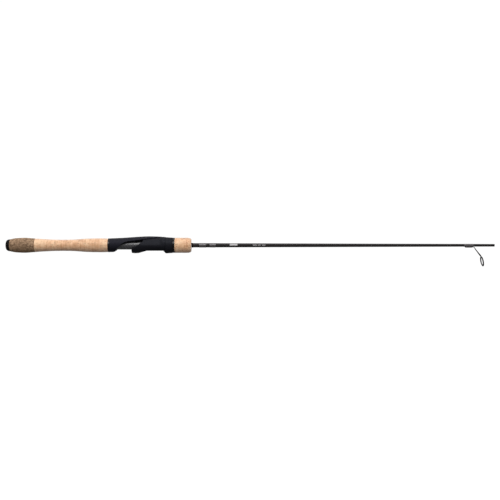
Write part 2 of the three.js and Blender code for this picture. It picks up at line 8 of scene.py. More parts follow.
import bmesh
import bpy
import numpy as np
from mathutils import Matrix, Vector


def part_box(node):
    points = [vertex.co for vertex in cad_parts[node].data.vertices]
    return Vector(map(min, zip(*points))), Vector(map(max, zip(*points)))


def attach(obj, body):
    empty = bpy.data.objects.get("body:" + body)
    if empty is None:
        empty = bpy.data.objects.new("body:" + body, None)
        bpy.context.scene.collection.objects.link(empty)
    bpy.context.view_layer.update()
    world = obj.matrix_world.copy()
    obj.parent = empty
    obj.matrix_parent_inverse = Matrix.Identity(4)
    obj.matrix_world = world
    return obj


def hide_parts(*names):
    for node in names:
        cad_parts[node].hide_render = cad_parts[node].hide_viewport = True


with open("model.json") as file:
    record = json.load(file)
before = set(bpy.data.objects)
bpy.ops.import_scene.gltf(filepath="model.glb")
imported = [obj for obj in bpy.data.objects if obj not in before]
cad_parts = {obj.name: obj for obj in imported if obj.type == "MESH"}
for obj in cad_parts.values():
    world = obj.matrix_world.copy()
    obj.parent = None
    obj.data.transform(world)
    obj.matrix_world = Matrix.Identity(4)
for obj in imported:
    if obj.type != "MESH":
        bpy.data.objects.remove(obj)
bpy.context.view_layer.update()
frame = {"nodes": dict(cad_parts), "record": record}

METRE = 1000.0
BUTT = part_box("butt_cap")[0].x * METRE
FULL_TURN = 2 * math.pi

# ---- Places read from the model ----


def span(*nodes):
    """Stations where a run of CAD nodes starts and ends."""
    corners = [corner.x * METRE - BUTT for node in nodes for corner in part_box(node)]
    return min(corners), max(corners)


def outline(*nodes):
    """The outside of turned CAD nodes, as [station, radius] points."""
    points = np.concatenate([
        [v.co for v in frame["nodes"][node].data.vertices] for node in nodes
    ]) * METRE
    station = np.round(points[:, 0] - BUTT, 1)
    radius = np.hypot(points[:, 1], points[:, 2])
    return [(s, radius[station == s].max()) for s in np.unique(station)]


def bore(node):
    """The smallest radius of a CAD node."""
    return min(math.hypot(v.co.y, v.co.z) for v in frame["nodes"][node].data.vertices) * METRE


def body_of(node):
    bodies = frame["record"]["behaviour"]["bodies"]
    return next(body for body, nodes in bodies.items() if node in nodes)


# ---- Curves and sections ----


def along(points, station):
    """Value at a station of a smooth curve through [station, value] points."""
    at, value = np.array(sorted(points), float).T
    wide_at, wide_value = np.pad(at, 1, "edge"), np.pad(value, 1, "edge")
    slope = (wide_value[2:] - wide_value[:-2]) / (wide_at[2:] - wide_at[:-2])
    s = np.clip(station, at[0], at[-1])
    i = np.clip(np.searchsorted(at, s) - 1, 0, len(at) - 2)
    width = at[i + 1] - at[i]
    t = (s - at[i]) / width
    level = value[i] + (value[i + 1] - value[i]) * t * t * (3 - 2 * t)
    return level + width * (slope[i] * t * (1 - t) ** 2 - slope[i + 1] * t * t * (1 - t))


def smooth_step(value, start, end):
    t = np.clip((value - start) / (end - start), 0, 1)
    return t * t * (3 - 2 * t)


def soft_min(a, b, rounding):
    """The smaller of two radii, with the corner between them rounded."""
    h = np.clip(0.5 + 0.5 * (b - a) / rounding, 0, 1)
    return b + (a - b) * h - rounding * h * (1 - h)


def oval(angle, width, top, bottom, squareness=2.2):
    """Radius of an oval section with its own top and bottom."""
    height = np.where(np.cos(angle) > 0, top, bottom)
    across = np.abs(np.sin(angle) / width) ** squareness
    upright = np.abs(np.cos(angle) / height) ** squareness
    return (across + upright) ** (-1 / squareness)


def from_below(angle):
    """Angle measured from straight down instead, without a sign."""
    return np.abs(math.pi - np.mod(angle, FULL_TURN))


# ---- Mesh makers ----


def closed_mesh(name, rings, ring_shaped=True, marks=None):
    """A closed mesh through rings of points, in millimetres.

    Its last ring joins its first, or both are capped."""
    count, columns = rings.shape[:2]
    index = np.arange(count * columns).reshape(count, columns)
    beside = np.roll(index, -1, axis=1)
    rows = count if ring_shaped else count - 1
    after, beside_after = np.roll(index, -1, axis=0), np.roll(beside, -1, axis=0)
    faces = np.stack([index, beside, beside_after, after], -1)[:rows].reshape(-1, 4).tolist()
    if not ring_shaped:
        faces += [index[0].tolist(), index[-1].tolist()]
    mesh = bpy.data.meshes.new(name)
    mesh.from_pydata((rings.reshape(-1, 3) / METRE).tolist(), [], faces)
    for mark, values in (marks or {}).items():
        layer = mesh.attributes.new(mark, "FLOAT", "POINT")
        layer.data.foreach_set("value", values.astype(np.float32).ravel())
    shell = bmesh.new()
    shell.from_mesh(mesh)
    bmesh.ops.recalc_face_normals(shell, faces=shell.faces)
    shell.to_mesh(mesh)
    shell.free()
    piece = bpy.data.objects.new(name, mesh)
    bpy.context.scene.collection.objects.link(piece)
    return piece


def round_the_rod(path, angles):
    """Points in the frame from (station, radius) rows, one value to an angle."""
    station = np.array([np.broadcast_to(s, angles.shape) for s, _ in path])
    radius = np.array([np.broadcast_to(r, angles.shape) for _, r in path])
    points = np.stack([station + BUTT, radius * np.sin(angles), radius * np.cos(angles)], -1)
    return station, points


def rounded_lip(end, ahead, outer, inner, edge, reach, angles):
    """Rows that turn over a sleeve's end from its outside to its inside. ahead is 1 at the front end."""
    start = end - ahead * reach
    outside, inside = outer(start, angles), inner(start, angles)
    rounding = np.minimum(edge, 0.49 * (outside - inside))
    turns = np.radians([0, 18, 36, 54, 72, 90])
    over = [
        (start + ahead * reach * math.sin(t), outside - rounding * (1 - math.cos(t))) for t in turns
    ]
    back = [
        (start + ahead * reach * math.sin(t), inside + rounding * (1 - math.cos(t))) for t in turns[::-1]
    ]
    return over + back


def sleeve(name, outer, inner, rear, front, around=96, steps=8, edge=0.3, marks=None):
    """A closed sleeve round the rod. outer and inner give its radius at (station, angle), rear and front
    the stations of its ends, one for all angles or one for each."""
    angles = FULL_TURN * np.arange(around) / around
    ends = []
    for end in (rear, front):
        end = np.broadcast_to(np.asarray(end, float), angles.shape)
        slope = np.gradient(np.concatenate([end[-1:], end, end[:1]]), angles[1])[1:-1]
        slant = np.sqrt(1 + (slope / outer(end, angles)) ** 2)
        ends.append((end, edge * np.minimum(slant, 5)))
    (rear, rear_reach), (front, front_reach) = ends
    first, last = rear + rear_reach, front - front_reach
    shares = np.linspace(0, 1, steps + 1)[1:-1]
    outside = [(first + (last - first) * u, outer(first + (last - first) * u, angles)) for u in shares]
    inside = [(first + (last - first) * u, inner(first + (last - first) * u, angles)) for u in shares]
    path = (
        outside
        + rounded_lip(front, 1, outer, inner, edge, front_reach, angles)
        + inside[::-1]
        + rounded_lip(rear, -1, outer, inner, edge, rear_reach, angles)[::-1]
    )
    station, points = round_the_rod(path, angles)
    painted = {mark: field(station, angles) for mark, field in (marks or {}).items()}
    return closed_mesh(name, points, marks=painted)


def level(value):
    """The same value at every station and angle, as for a plain round wall."""
    return lambda s, a: value + 0 * s + 0 * a


def tube(name, outer, inner, rear, front, **more):
    """A sleeve with plain round walls."""
    return sleeve(name, level(outer), level(inner), rear, front, **more)


def join(piece, other):
    """Joins a piece with another, which is used up."""
    change = piece.modifiers.new("join", "BOOLEAN")
    change.operation, change.object, change.solver = "UNION", other, "EXACT"
    graph = bpy.context.evaluated_depsgraph_get()
    mesh = bpy.data.meshes.new_from_object(piece.evaluated_get(graph))
    piece.modifiers.clear()
    piece.data = mesh
    bpy.data.objects.remove(other)
    return piece


def swept_bar(name, centres, widths, thicknesses, sides=20, squareness=3.0):
    """A bar bent in the rod's upright plane, along [station, height] centres."""
    centres = np.array(centres, float)
    ahead = np.gradient(centres, axis=0)
    ahead /= np.linalg.norm(ahead, axis=1)[:, None]
    angles = FULL_TURN * np.arange(sides) / sides
    power = 2 / squareness
    across = np.sign(np.cos(angles)) * np.abs(np.cos(angles)) ** power / 2
    out = np.sign(np.sin(angles)) * np.abs(np.sin(angles)) ** power / 2
    rings = np.zeros((len(centres), sides, 3))
    for i, ((station, height), (run, rise)) in enumerate(zip(centres, ahead)):
        rings[i, :, 0] = station + BUTT - rise * out * thicknesses[i]
        rings[i, :, 1] = across * widths[i]
        rings[i, :, 2] = height + run * out * thicknesses[i]
    return closed_mesh(name, rings, ring_shaped=False)


def curve_through(points, count):
    """Evenly spaced points on a smooth curve through [station, height] points."""
    points = np.array(points, float)
    lengths = np.concatenate([[0], np.cumsum(np.linalg.norm(np.diff(points, axis=0), axis=1))])
    even = np.linspace(0, lengths[-1], count)
    return np.stack([along(list(zip(lengths, points[:, k])), even) for k in (0, 1)], -1)


def fit(piece, node, material, crease=38):
    """Finishes a piece, and puts it in the place of its CAD node."""
    piece.data.materials.clear()
    piece.data.materials.append(material)
    piece.data.shade_smooth()
    piece.data.set_sharp_from_angle(angle=math.radians(crease))
    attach(piece, body_of(node))
    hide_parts(node)


# ---- Materials ----


def linear(code):
    """An sRGB hex colour as linear RGBA."""
    parts = [int(code[i:i + 2], 16) / 255 for i in (0, 2, 4)]
    return tuple(c / 12.92 if c <= 0.04045 else ((c + 0.055) / 1.055) ** 2.4 for c in parts) + (1.0,)


def add(tree, kind, inputs=None, stops=None, **settings):
    """Adds a node with its settings, its inputs' values or links, and a colour ramp's stops."""
    made = tree.nodes.new(kind)
    for name, value in settings.items():
        setattr(made, name, value)
    for name, value in (inputs or {}).items():
        if isinstance(value, bpy.types.NodeSocket):
            tree.links.new(value, made.inputs[name])
        else:
            made.inputs[name].default_value = value
    for i, (place, code) in enumerate(stops or ()):
        ramp = made.color_ramp.elements
        stop = ramp[i] if i < 2 else ramp.new(place)
        stop.position, stop.color = place, linear(code)
    return made


def new_finish(name, **constants):
    """A material with one shader, whose plain settings are constants."""
    material = bpy.data.materials.new(name)
    material.use_nodes = True
    tree = material.node_tree
    tree.nodes.clear()
    names = {key: key.replace("_", " ").title().replace("Ior", "IOR") for key in constants}
    shader = add(tree, "ShaderNodeBsdfPrincipled", {names[k]: v for k, v in constants.items()})
    add(tree, "ShaderNodeOutputMaterial", {"Surface": shader.outputs["BSDF"]})
    return material, tree, shader


def cells(tree, x, y=None, z=None):
    """The piece's own coordinates, counted in cells of this size in millimetres."""
    size = (x, y or x, z or y or x)
    here = add(tree, "ShaderNodeTexCoord").outputs["Object"]
    counts = tuple(METRE / s for s in size)
    scaled = add(tree, "ShaderNodeVectorMath", {0: here, 1: counts}, operation="MULTIPLY")
    return scaled.outputs["Vector"]


def wear_in(tree, shader, height, depth):
    """Raises the surface by a pattern that is depth millimetres deep."""
    bump = add(tree, "ShaderNodeBump", {"Height": height, "Distance": depth / METRE, "Strength": 1.0})
    tree.links.new(bump.outputs["Normal"], shader.inputs["Normal"])


def natural_cork():
    """Natural cork, turned and sanded: growth layers across the ring's axis, fine open cells, dark pores."""
    material, tree, shader = new_finish("sanded_natural_cork", specular_ior_level=0.45, sheen_weight=1.0,
                                       sheen_roughness=0.5, coat_weight=0.6, coat_roughness=0.5)
    layers = add(tree, "ShaderNodeTexNoise",
                 {"Vector": cells(tree, 1.7, 22), "Scale": 1.0, "Detail": 3.0, "Roughness": 0.6})
    patches = add(tree, "ShaderNodeTexNoise", {"Vector": cells(tree, 6, 4), "Scale": 1.0, "Detail": 2.0})
    grain = add(tree, "ShaderNodeTexNoise",
                {"Vector": cells(tree, 0.5), "Scale": 1.0, "Detail": 4.0, "Roughness": 0.7})
    tone = add(tree, "ShaderNodeAttribute", attribute_name="tone")
    pore = add(tree, "ShaderNodeAttribute", attribute_name="pore")
    share = add(tree, "ShaderNodeMath", {0: layers.outputs["Fac"], 1: patches.outputs["Fac"]},
                operation="ADD")
    share = add(tree, "ShaderNodeMath", {0: share.outputs[0], 1: tone.outputs["Fac"]}, operation="ADD")
    share = add(tree, "ShaderNodeMapRange", {"Value": share.outputs[0], "From Min": 0.72, "From Max": 1.28})
    base = add(tree, "ShaderNodeValToRGB", {"Fac": share.outputs[0]},
               stops=((0, "c58e60"), (1, "ecc49a"), (0.5, "deac80")))
    grained = add(tree, "ShaderNodeMapRange", {
        "Value": grain.outputs["Fac"], "From Min": 0.3, "From Max": 0.7, "To Min": 0.86, "To Max": 1.08,
    })
    base = add(tree, "ShaderNodeMix", {0: 1.0, 6: base.outputs["Color"], 7: grained.outputs[0]},
               data_type="RGBA", blend_type="MULTIPLY")
    dark = add(tree, "ShaderNodeMath", {0: pore.outputs["Fac"], 1: 1.0}, operation="MULTIPLY", use_clamp=True)
    base = add(tree, "ShaderNodeMix", {0: dark.outputs[0], 6: base.outputs[2], 7: linear("7a4c2b")},
               data_type="RGBA")
    tree.links.new(base.outputs[2], shader.inputs["Base Color"])
    shader.inputs["Roughness"].default_value = 0.65
    wear_in(tree, shader, grain.outputs["Fac"], 0.12)
    return material


def burl_cork():
    """Composite cork: chips of light and dark bark pressed in binder, sanded level."""
    material, tree, shader = new_finish("composite_burl_cork", specular_ior_level=0.3)
    swirl = add(tree, "ShaderNodeTexNoise", {"Vector": cells(tree, 1.6), "Scale": 1.0, "Detail": 2.0})
    bend = add(tree, "ShaderNodeVectorMath", {0: swirl.outputs["Color"], 1: (1.1, 1.1, 1.1)},
               operation="MULTIPLY")
    bent = add(tree, "ShaderNodeVectorMath", {0: cells(tree, 2.2, 1.6), 1: bend.outputs["Vector"]},
               operation="ADD")
    chips = add(tree, "ShaderNodeTexVoronoi", {"Vector": bent.outputs["Vector"], "Scale": 1.0})
    crumbs = add(tree, "ShaderNodeTexVoronoi", {"Vector": bent.outputs["Vector"], "Scale": 2.7})
    edges = add(tree, "ShaderNodeTexVoronoi", {"Vector": bent.outputs["Vector"], "Scale": 1.0},
                feature="DISTANCE_TO_EDGE")
    patches = add(tree, "ShaderNodeTexNoise", {"Vector": cells(tree, 6), "Scale": 1.0, "Detail": 2.0})
    grain = add(tree, "ShaderNodeTexNoise", {"Vector": cells(tree, 0.45), "Scale": 1.0, "Detail": 4.0})
    mixed = add(tree, "ShaderNodeMix", {0: 0.35, 6: chips.outputs["Color"], 7: crumbs.outputs["Color"]},
                data_type="RGBA")
    pick = add(tree, "ShaderNodeSeparateColor", {"Color": mixed.outputs[2]})
    share = add(tree, "ShaderNodeMath", {0: pick.outputs[0], 1: patches.outputs["Fac"]}, operation="ADD")
    share = add(tree, "ShaderNodeMapRange", {"Value": share.outputs[0], "From Min": 0.4, "From Max": 1.5})
    base = add(tree, "ShaderNodeValToRGB", {"Fac": share.outputs[0]},
               stops=((0, "543e2a"), (1, "b9997c"), (0.35, "7e644b"), (0.7, "9a7c60")))
    grained = add(tree, "ShaderNodeMapRange", {
        "Value": grain.outputs["Fac"], "From Min": 0.3, "From Max": 0.7, "To Min": 0.8, "To Max": 1.12,
    })
    base = add(tree, "ShaderNodeMix", {0: 1.0, 6: base.outputs["Color"], 7: grained.outputs[0]},
               data_type="RGBA", blend_type="MULTIPLY")
    seam = add(tree, "ShaderNodeMapRange", {
        "Value": edges.outputs["Distance"], "From Min": 0.0, "From Max": 0.07, "To Min": 0.4, "To Max": 0.0,
    })
    base = add(tree, "ShaderNodeMix", {0: seam.outputs[0], 6: base.outputs[2], 7: linear("3a2a1c")},
               data_type="RGBA")
    tree.links.new(base.outputs[2], shader.inputs["Base Color"])
    shader.inputs["Roughness"].default_value = 0.74
    wear_in(tree, shader, grain.outputs["Fac"], 0.1)
    return material


def black_rubber():
    """Moulded black rubber: matt, with the fine tooth of its mould."""
    material, tree, shader = new_finish("moulded_black_rubber", specular_ior_level=0.1, roughness=0.55)
    tooth = add(tree, "ShaderNodeTexNoise", {"Vector": cells(tree, 0.35), "Scale": 1.0, "Detail": 3.0})
    dust = add(tree, "ShaderNodeTexNoise", {"Vector": cells(tree, 4), "Scale": 1.0, "Detail": 3.0})
    base = add(tree, "ShaderNodeValToRGB", {"Fac": dust.outputs["Fac"]},
               stops=((0.3, "080504"), (0.75, "100c0b")))
    tree.links.new(base.outputs["Color"], shader.inputs["Base Color"])
    wear_in(tree, shader, tooth.outputs["Fac"], 0.06)
    return material


def soft_touch_black():
    """Nylon under a soft-touch coat: a smooth, dull bluish black that shows handling as faint shine."""
    material, tree, shader = new_finish("soft_touch_black", specular_ior_level=0.18,
                                        specular_tint=linear("dcdaf0"))
    tooth = add(tree, "ShaderNodeTexNoise", {"Vector": cells(tree, 0.3), "Scale": 1.0, "Detail": 2.0})
    handling = add(tree, "ShaderNodeTexNoise", {"Vector": cells(tree, 14, 9), "Scale": 1.0, "Detail": 3.0})
    base = add(tree, "ShaderNodeValToRGB", {"Fac": handling.outputs["Fac"]},
               stops=((0.3, "121218"), (0.7, "17171e")))
    shine = add(tree, "ShaderNodeMapRange", {
        "Value": handling.outputs["Fac"], "From Min": 0.3, "From Max": 0.7, "To Min": 0.5, "To Max": 0.62,
    })
    tree.links.new(base.outputs["Color"], shader.inputs["Base Color"])
    tree.links.new(shine.outputs[0], shader.inputs["Roughness"])
    wear_in(tree, shader, tooth.outputs["Fac"], 0.03)
    return material


def moulded_nylon():
    """Glass-filled nylon, moulded black: satin, with faint flow marks along the seat."""
    material, tree, shader = new_finish("moulded_black_nylon", specular_ior_level=0.16,
                                        specular_tint=linear("dce0f0"))
    flow = add(tree, "ShaderNodeTexNoise", {"Vector": cells(tree, 9, 2.5), "Scale": 1.0, "Detail": 3.0})
    tooth = add(tree, "ShaderNodeTexNoise", {"Vector": cells(tree, 0.25), "Scale": 1.0, "Detail": 2.0})
    base = add(tree, "ShaderNodeValToRGB", {"Fac": flow.outputs["Fac"]},
               stops=((0.3, "101014"), (0.7, "15151a")))
    shine = add(tree, "ShaderNodeMapRange", {"Value": flow.outputs["Fac"], "From Min": 0.3, "From Max": 0.7,
                                             "To Min": 0.5, "To Max": 0.6})
    tree.links.new(base.outputs["Color"], shader.inputs["Base Color"])
    tree.links.new(shine.outputs[0], shader.inputs["Roughness"])
    wear_in(tree, shader, tooth.outputs["Fac"], 0.02)
    return material


def graphite_tube():
    """Filament-wound graphite tube under clear lacquer: dark grey, deep gloss, a faint slanted winding."""
    material, tree, shader = new_finish("lacquered_graphite_tube", roughness=0.4, coat_weight=0.7,
                                        coat_roughness=0.24)
    winding = add(tree, "ShaderNodeTexWave", {
        "Vector": cells(tree, 7), "Scale": 1.0, "Distortion": 0.6, "Detail": 1.0,
    }, bands_direction="DIAGONAL")
    base = add(tree, "ShaderNodeValToRGB", {"Fac": winding.outputs["Fac"]},
               stops=((0.2, "2b2b2e"), (0.8, "3d3c40")))
    tree.links.new(base.outputs["Color"], shader.inputs["Base Color"])
    return material


def gloss_black():
    """Black lacquered aluminium trim: a hard gloss with a little orange peel, its black tinted warm brown as
    a painted reflection of the cork beside the rings.
    """
    material, tree, shader = new_finish("gloss_black_lacquer", specular_ior_level=0.3, roughness=0.2)
    peel = add(tree, "ShaderNodeTexNoise", {"Vector": cells(tree, 1.2), "Scale": 1.0, "Detail": 1.0})
    # Near-black is the lacquer's own colour; the warm brown in these stops is a painted reflection of the
    # neighbouring cork.
    base = add(tree, "ShaderNodeValToRGB", {"Fac": peel.outputs["Fac"]},
               stops=((0.3, "0c0807"), (0.7, "130d0b")))
    tree.links.new(base.outputs["Color"], shader.inputs["Base Color"])
    wear_in(tree, shader, peel.outputs["Fac"], 0.02)
    return material


def blank_finish(bars):
    """Carbon fibre blank under charcoal paint and clear coat, with plain pale bars printed on it."""
    material, tree, shader = new_finish("clear_coated_carbon", specular_ior_level=0.14, coat_weight=0.04,
                                        coat_roughness=0.2)
    fibre = add(tree, "ShaderNodeTexNoise", {"Vector": cells(tree, 5, 0.35), "Scale": 1.0, "Detail": 3.0})
    spiral = add(tree, "ShaderNodeTexWave",
                 {"Vector": cells(tree, 9, 6), "Scale": 1.0, "Distortion": 1.5, "Detail": 2.0})
    base = add(tree, "ShaderNodeValToRGB", {"Fac": fibre.outputs["Fac"]},
               stops=((0.25, "1e1b1b"), (0.75, "252122")))
    shine = add(tree, "ShaderNodeMapRange", {"Value": spiral.outputs["Fac"], "To Min": 0.44, "To Max": 0.52})
    tree.links.new(shine.outputs[0], shader.inputs["Roughness"])
    place = add(tree, "ShaderNodeSeparateXYZ", {"Vector": add(tree, "ShaderNodeTexCoord").outputs["Object"]})
    colour = base.outputs["Color"]
    for start, end, low, high, code in bars:
        middle, half = ((start + end) / 2 + BUTT) / METRE, (end - start) / 2 / METRE
        along_rod = add(tree, "ShaderNodeMath", {0: place.outputs["X"], 1: middle, 2: half},
                        operation="COMPARE")
        level, reach = (low + high) / 2 / METRE, (high - low) / 2 / METRE
        up = add(tree, "ShaderNodeMath", {0: place.outputs["Z"], 1: level, 2: reach}, operation="COMPARE")
        inside = add(tree, "ShaderNodeMath", {0: along_rod.outputs[0], 1: up.outputs[0]},
                     operation="MULTIPLY")
        mixed = add(tree, "ShaderNodeMix", {0: inside.outputs[0], 6: colour, 7: linear(code)},
                    data_type="RGBA")
        colour = mixed.outputs[2]
    tree.links.new(colour, shader.inputs["Base Color"])
    return material


def thread_under_epoxy():
    """Nylon thread wound side by side under clear epoxy: ribs under a glassy coat.

    A thread is 0.15 mm across, and is drawn 0.4 mm so that it shows."""
    material, tree, shader = new_finish("thread_under_epoxy", specular_ior_level=0.3, roughness=0.45,
                                       coat_weight=0.8, coat_roughness=0.18)
    turns = add(tree, "ShaderNodeTexWave",
                {"Vector": cells(tree, 0.4 * FULL_TURN, 1e6), "Scale": 2.5, "Distortion": 0.1})
    base = add(tree, "ShaderNodeValToRGB", {"Fac": turns.outputs["Fac"]},
               stops=((0.1, "322e2f"), (0.9, "5c5759")))
    tree.links.new(base.outputs["Color"], shader.inputs["Base Color"])
    return material


def black_steel():
    """Stainless steel wire and strip under black plating: dark metal, brighter where it is rubbed."""
    material, tree, shader = new_finish("black_plated_steel", metallic=1.0)
    rub = add(tree, "ShaderNodeTexNoise", {"Vector": cells(tree, 2), "Scale": 1.0, "Detail": 3.0})
    base = add(tree, "ShaderNodeValToRGB", {"Fac": rub.outputs["Fac"]},
               stops=((0.35, "0b0b0c"), (0.75, "18181b")))
    shine = add(tree, "ShaderNodeMapRange", {"Value": rub.outputs["Fac"], "From Min": 0.3, "From Max": 0.7,
                                             "To Min": 0.22, "To Max": 0.38})
    tree.links.new(base.outputs["Color"], shader.inputs["Base Color"])
    tree.links.new(shine.outputs[0], shader.inputs["Roughness"])
    return material


def polished_ceramic():
    """Black aluminium oxide, sintered and polished: a hard, glassy line ring."""
    material, tree, shader = new_finish("polished_black_ceramic", ior=1.77, roughness=0.08)
    cloud = add(tree, "ShaderNodeTexNoise", {"Vector": cells(tree, 1.5), "Scale": 1.0, "Detail": 2.0})
    base = add(tree, "ShaderNodeValToRGB", {"Fac": cloud.outputs["Fac"]},
               stops=((0.3, "0c0c0f"), (0.7, "17171b")))
    tree.links.new(base.outputs["Color"], shader.inputs["Base Color"])
    return material


def arbor_foam():
    """Rigid polyurethane foam, cut with a knife: pale grey, with open pores 0.5 mm across."""
    material, tree, shader = new_finish("cut_rigid_foam", roughness=0.95)
    pores = add(tree, "ShaderNodeTexVoronoi", {"Vector": cells(tree, 0.5), "Scale": 1.0})
    base = add(tree, "ShaderNodeValToRGB", {"Fac": pores.outputs["Distance"]},
               stops=((0.1, "5e5e5a"), (0.5, "9a9a95")))
    tree.links.new(base.outputs["Color"], shader.inputs["Base Color"])
    wear_in(tree, shader, pores.outputs["Distance"], 0.2)
    return material


def spring_steel():
    """Tempered spring steel, ground: grey, with fine grinding lines round the clip."""
    material, tree, shader = new_finish("ground_spring_steel", metallic=1.0)
    lines = add(tree, "ShaderNodeTexNoise", {"Vector": cells(tree, 0.12, 3), "Scale": 1.0, "Detail": 2.0})
    base = add(tree, "ShaderNodeValToRGB", {"Fac": lines.outputs["Fac"]},
               stops=((0.3, "7f8286"), (0.7, "9b9ea2")))
    shine = add(tree, "ShaderNodeMapRange", {"Value": lines.outputs["Fac"], "To Min": 0.25, "To Max": 0.5})
    tree.links.new(base.outputs["Color"], shader.inputs["Base Color"])
    tree.links.new(shine.outputs[0], shader.inputs["Roughness"])
    return material


# Plain pale bars printed on the blank: [start, end, low, high, colour], heights above the axis
PRINTED_BARS = [
    (350.5, 362.5, -0.6, 2.4, "b0aeaf"),
    (386.5, 393.5, -0.6, 1.2, "8c898a"),
    (395.0, 399.5, -0.6, 1.2, "8c898a"),
    (401.0, 406.5, -0.6, 1.2, "8c898a"),
]

CORK = natural_cork()
BURL = burl_cork()
RUBBER = black_rubber()
SOFT_TOUCH = soft_touch_black()
NYLON = moulded_nylon()
GRAPHITE = graphite_tube()
GLOSS = gloss_black()
BLANK = blank_finish(PRINTED_BARS)
THREAD = thread_under_epoxy()
BLACK_STEEL = black_steel()
CERAMIC = polished_ceramic()
FOAM = arbor_foam()
SPRING = spring_steel()

# ---- Blank and grip ----

BLANK_OUTLINE = outline("blank")
GLUE_GAP = 0.15
PAINT = 0.1


def blank_radius(station):
    (start, wide), (end, narrow) = BLANK_OUTLINE[0], BLANK_OUTLINE[-1]
    return wide + (narrow - wide) * (station - start) / (end - start)


def make_blank():
    end = span("blank")[1]
    wall = blank_radius(end) - bore("blank")
    piece = sleeve(
        "blank_tube",
        lambda s, a: blank_radius(s) + PAINT + 0 * a,
        lambda s, a: blank_radius(s) - wall - 0.35 * (end - s) / end + 0 * a,
        *span("blank"),
        around=48, steps=40, edge=0.12,
    )
    fit(piece, "blank", BLANK)


def make_butt_cap():
    """A domed cap with a shallow moulded ring in its face and a socket for the blank's end."""
    length = span("butt_cap")[1]
    radius = outline("butt_cap")[-1][1]
    face = 5.2
    socket, floor = blank_radius(0) + GLUE_GAP, span("blank")[0] - GLUE_GAP
    dome = [
        (0.75 * length * (1 - math.cos(t)), face + (radius - face) * math.sin(t))
        for t in np.linspace(0, math.pi / 2, 14)
    ]
    mark = [(0, 0.02), (0, 3.1), (0.12, 3.25), (0.25, 3.5), (0.12, 3.75), (0, 3.9), (0, 4.6)]
    skirt = [(length - 0.35, radius), (length - 0.1, radius - 0.1), (length, radius - 0.35)]
    inside = [(length, socket + 0.2), (length - 0.2, socket), (floor, socket), (floor, 0.02)]
    angles = FULL_TURN * np.arange(96) / 96
    _, points = round_the_rod(mark + dome + skirt + inside, angles)
    fit(closed_mesh("rubber_butt_cap", points, ring_shaped=False), "butt_cap", RUBBER)


def pore_field(seed, start, end, radius, count):
    """Cork's pores, short slits along the rod: depth from 0 to 1 at (station, angle)."""
    draw = np.random.default_rng(seed)
    at, around = draw.uniform(start, end, count), draw.uniform(0, FULL_TURN, count)
    half_length, half_width = 0.5 + draw.gamma(2.0, 0.45, count), draw.uniform(0.28, 0.6, count)
    tilt, strength = draw.normal(0, 0.2, count), draw.uniform(0.35, 1, count)

    def depth(station, angle):
        total = np.zeros(np.broadcast(station, angle).shape)
        for k in range(count):
            ahead = station - at[k]
            turn = np.mod(angle - around[k] + math.pi, FULL_TURN) - math.pi
            aside = turn * radius - tilt[k] * ahead
            hollow = 1 - (ahead / half_length[k]) ** 2 - (aside / half_width[k]) ** 2
            total = np.maximum(total, strength[k] * np.sqrt(np.clip(hollow, 0, 1)))
        return total

    return depth


def ripple(seed, sizes):
    """Small unevenness of a sanded surface, in millimetres, from a few slow waves."""
    draw = np.random.default_rng(seed)
    waves = [
        (draw.uniform(0.1, 0.6), draw.integers(2, 9), draw.uniform(0, FULL_TURN), size) for size in sizes
    ]
    return lambda s, a: sum(size * np.sin(pace * s + turns * a + shift) for pace, turns, shift, size in waves)


def cork_ring(name, node, shape, material, seed, pores, tone, pore_depth=0.3, edge=0.12):
    """One ring of a grip: its outside follows shape(station), opened by pores."""
    start, end = span(node)
    inner = bore(node)
    field = pore_field(seed, start + 0.3, end - 0.3, float(shape((start + end) / 2)), pores)
    uneven = ripple(seed, (0.02, 0.015, 0.02))

    def outside(s, a):
        return shape(s) + uneven(s, a) - pore_depth * field(s, a)

    piece = sleeve(
        name, outside, level(inner), start, end,
        around=192, steps=34, edge=edge,
        marks={"pore": field, "tone": level(tone)},
    )
    fit(piece, node, material, crease=60)


def make_rear_grip():
    burl = [f"butt_cork_ring_{i + 1}" for i in range(3)]
    natural = [f"grip_cork_ring_{i + 1}" for i in range(9)]
    points = outline(*burl, *natural)

    def shape(station):
        return along(points, station)

    for i, node in enumerate(burl):
        cork_ring(f"burl_cork_{i + 1}", node, shape, BURL, 11 + i, 6, 0, pore_depth=0.12)
    tones = np.random.default_rng(4).uniform(-0.1, 0.1, len(natural))
    for i, node in enumerate(natural):
        cork_ring(f"grip_cork_{i + 1}", node, shape, CORK, 31 + i, 30, tones[i])


# ---- Reel seat ----

# The seat's half-width, top and bottom as [station, distance from the axis]
SEAT_WIDTH = [(163, 10.8), (200, 11.2), (228, 11.8), (250, 11.9)]
SEAT_TOP = [(163, 10.9), (182, 11.7), (204, 13.2), (222, 14.1), (238, 13.8), (250, 13)]
SEAT_BOTTOM = [(163, 10.7), (250, 10.2)]
# Lower edge of the palm shell and rear edge of the barrel, as [station, height]
SHELL_EDGE = [
    (165.5, -12.5), (171.5, -8.6), (177, -3.4), (184, 3.2), (193, 6.4), (207, 8.2), (226, 11.2), (258, 15.2),
]
BARREL_EDGE = [(197.3, -7.5), (215, 6.5), (217, 20)]
TONGUE_THICKNESS = 1.2
TONGUE_FADE = (240, 246)
LIP_THICKNESS = 1.5
SEAT_BORE = 6.85
BED = 8.6
PLATFORM_END = 250
THREAD_RADIUS = 8.2
THREAD_DEPTH = 0.6
THREAD_PITCH = 2
KEYWAY = {"half_width": 1.5, "level": 7.2, "end": 275}
REAR_HOOD = {"pocket": 203.5, "bottom": [(197.3, 12.1), (203, 12.5), (221, 11)]}
REAR_MOUTH = [(204.5, -12.9), (221, -8.6)]
POCKET = {"half_width": 6.8, "side": 9.4, "depth": 11.3}


def seat_radius(s, a):
    return oval(a, along(SEAT_WIDTH, s), along(SEAT_TOP, s), along(SEAT_BOTTOM, s))


